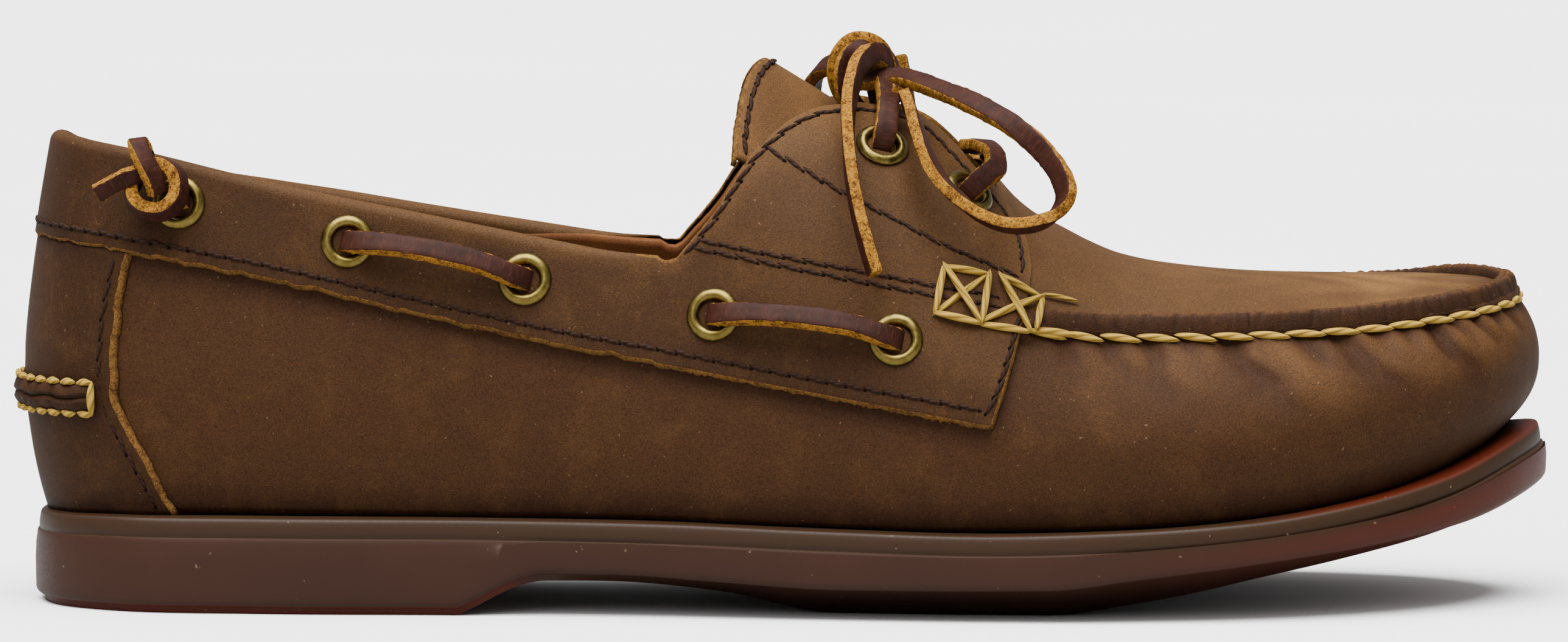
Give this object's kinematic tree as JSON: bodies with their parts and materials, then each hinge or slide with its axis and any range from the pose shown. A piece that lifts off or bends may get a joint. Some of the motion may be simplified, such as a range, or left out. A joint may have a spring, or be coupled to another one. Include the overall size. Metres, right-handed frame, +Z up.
{
  "type": "boat shoe",
  "caption": "Right leather boat shoe with a raised hand-sewn toe seam, a rawhide lace run round the collar through brass eyelets, a tied bow and a rubber sole.",
  "frame": {"origin": "on the floor under the middle of the shoe's bounding box, without its bow, lace ends and heel knots", "axes": "+X from the heel to the toe, +Y to the medial side (the wearer's left), +Z up from the floor"},
  "size_m": [0.3026, 0.1048, 0.1122],
  "materials": {
    "leather": "oiled nubuck, lighter where it is pulled and rubbed",
    "seam_leather": "gathered and darkened, with light waxed thread",
    "lining": "smooth tan lining leather",
    "rubber": "dark brown gum rubber, satin",
    "brass": "antiqued brass",
    "lace": "rawhide, brown faces and tan cut edges"
  },
  "bodies": {
    "root": {"outsole": "rubber", "insole": "lining", "upper": "leather", "quarter_band": "leather", "heel_counter": "leather", "heel_roll": "seam_leather", "seam_ridge": "seam_leather", "tongue": "leather", "eyelet_lateral_heel": "brass", "eyelet_lateral_side_1": "brass", "eyelet_lateral_side_2": "brass", "eyelet_lateral_side_3": "brass", "eyelet_lateral_side_4": "brass", "eyelet_lateral_throat_back": "brass", "eyelet_lateral_throat_front": "brass", "eyelet_medial_heel": "brass", "eyelet_medial_side_1": "brass", "eyelet_medial_side_2": "brass", "eyelet_medial_side_3": "brass", "eyelet_medial_side_4": "brass", "eyelet_medial_throat_back": "brass", "eyelet_medial_throat_front": "brass", "lace_bar_lateral_back": "lace", "lace_bar_lateral_front": "lace", "lace_bar_medial_back": "lace", "lace_bar_medial_front": "lace", "lace_crossing_front": "lace", "lace_crossing_back": "lace", "heel_knot_lateral": "lace", "heel_knot_medial": "lace", "bow_knot": "lace", "bow_loop_lateral": "lace", "bow_loop_medial": "lace", "lace_end_lateral": "lace", "lace_end_medial": "lace"}
  },
  "joints": []
}
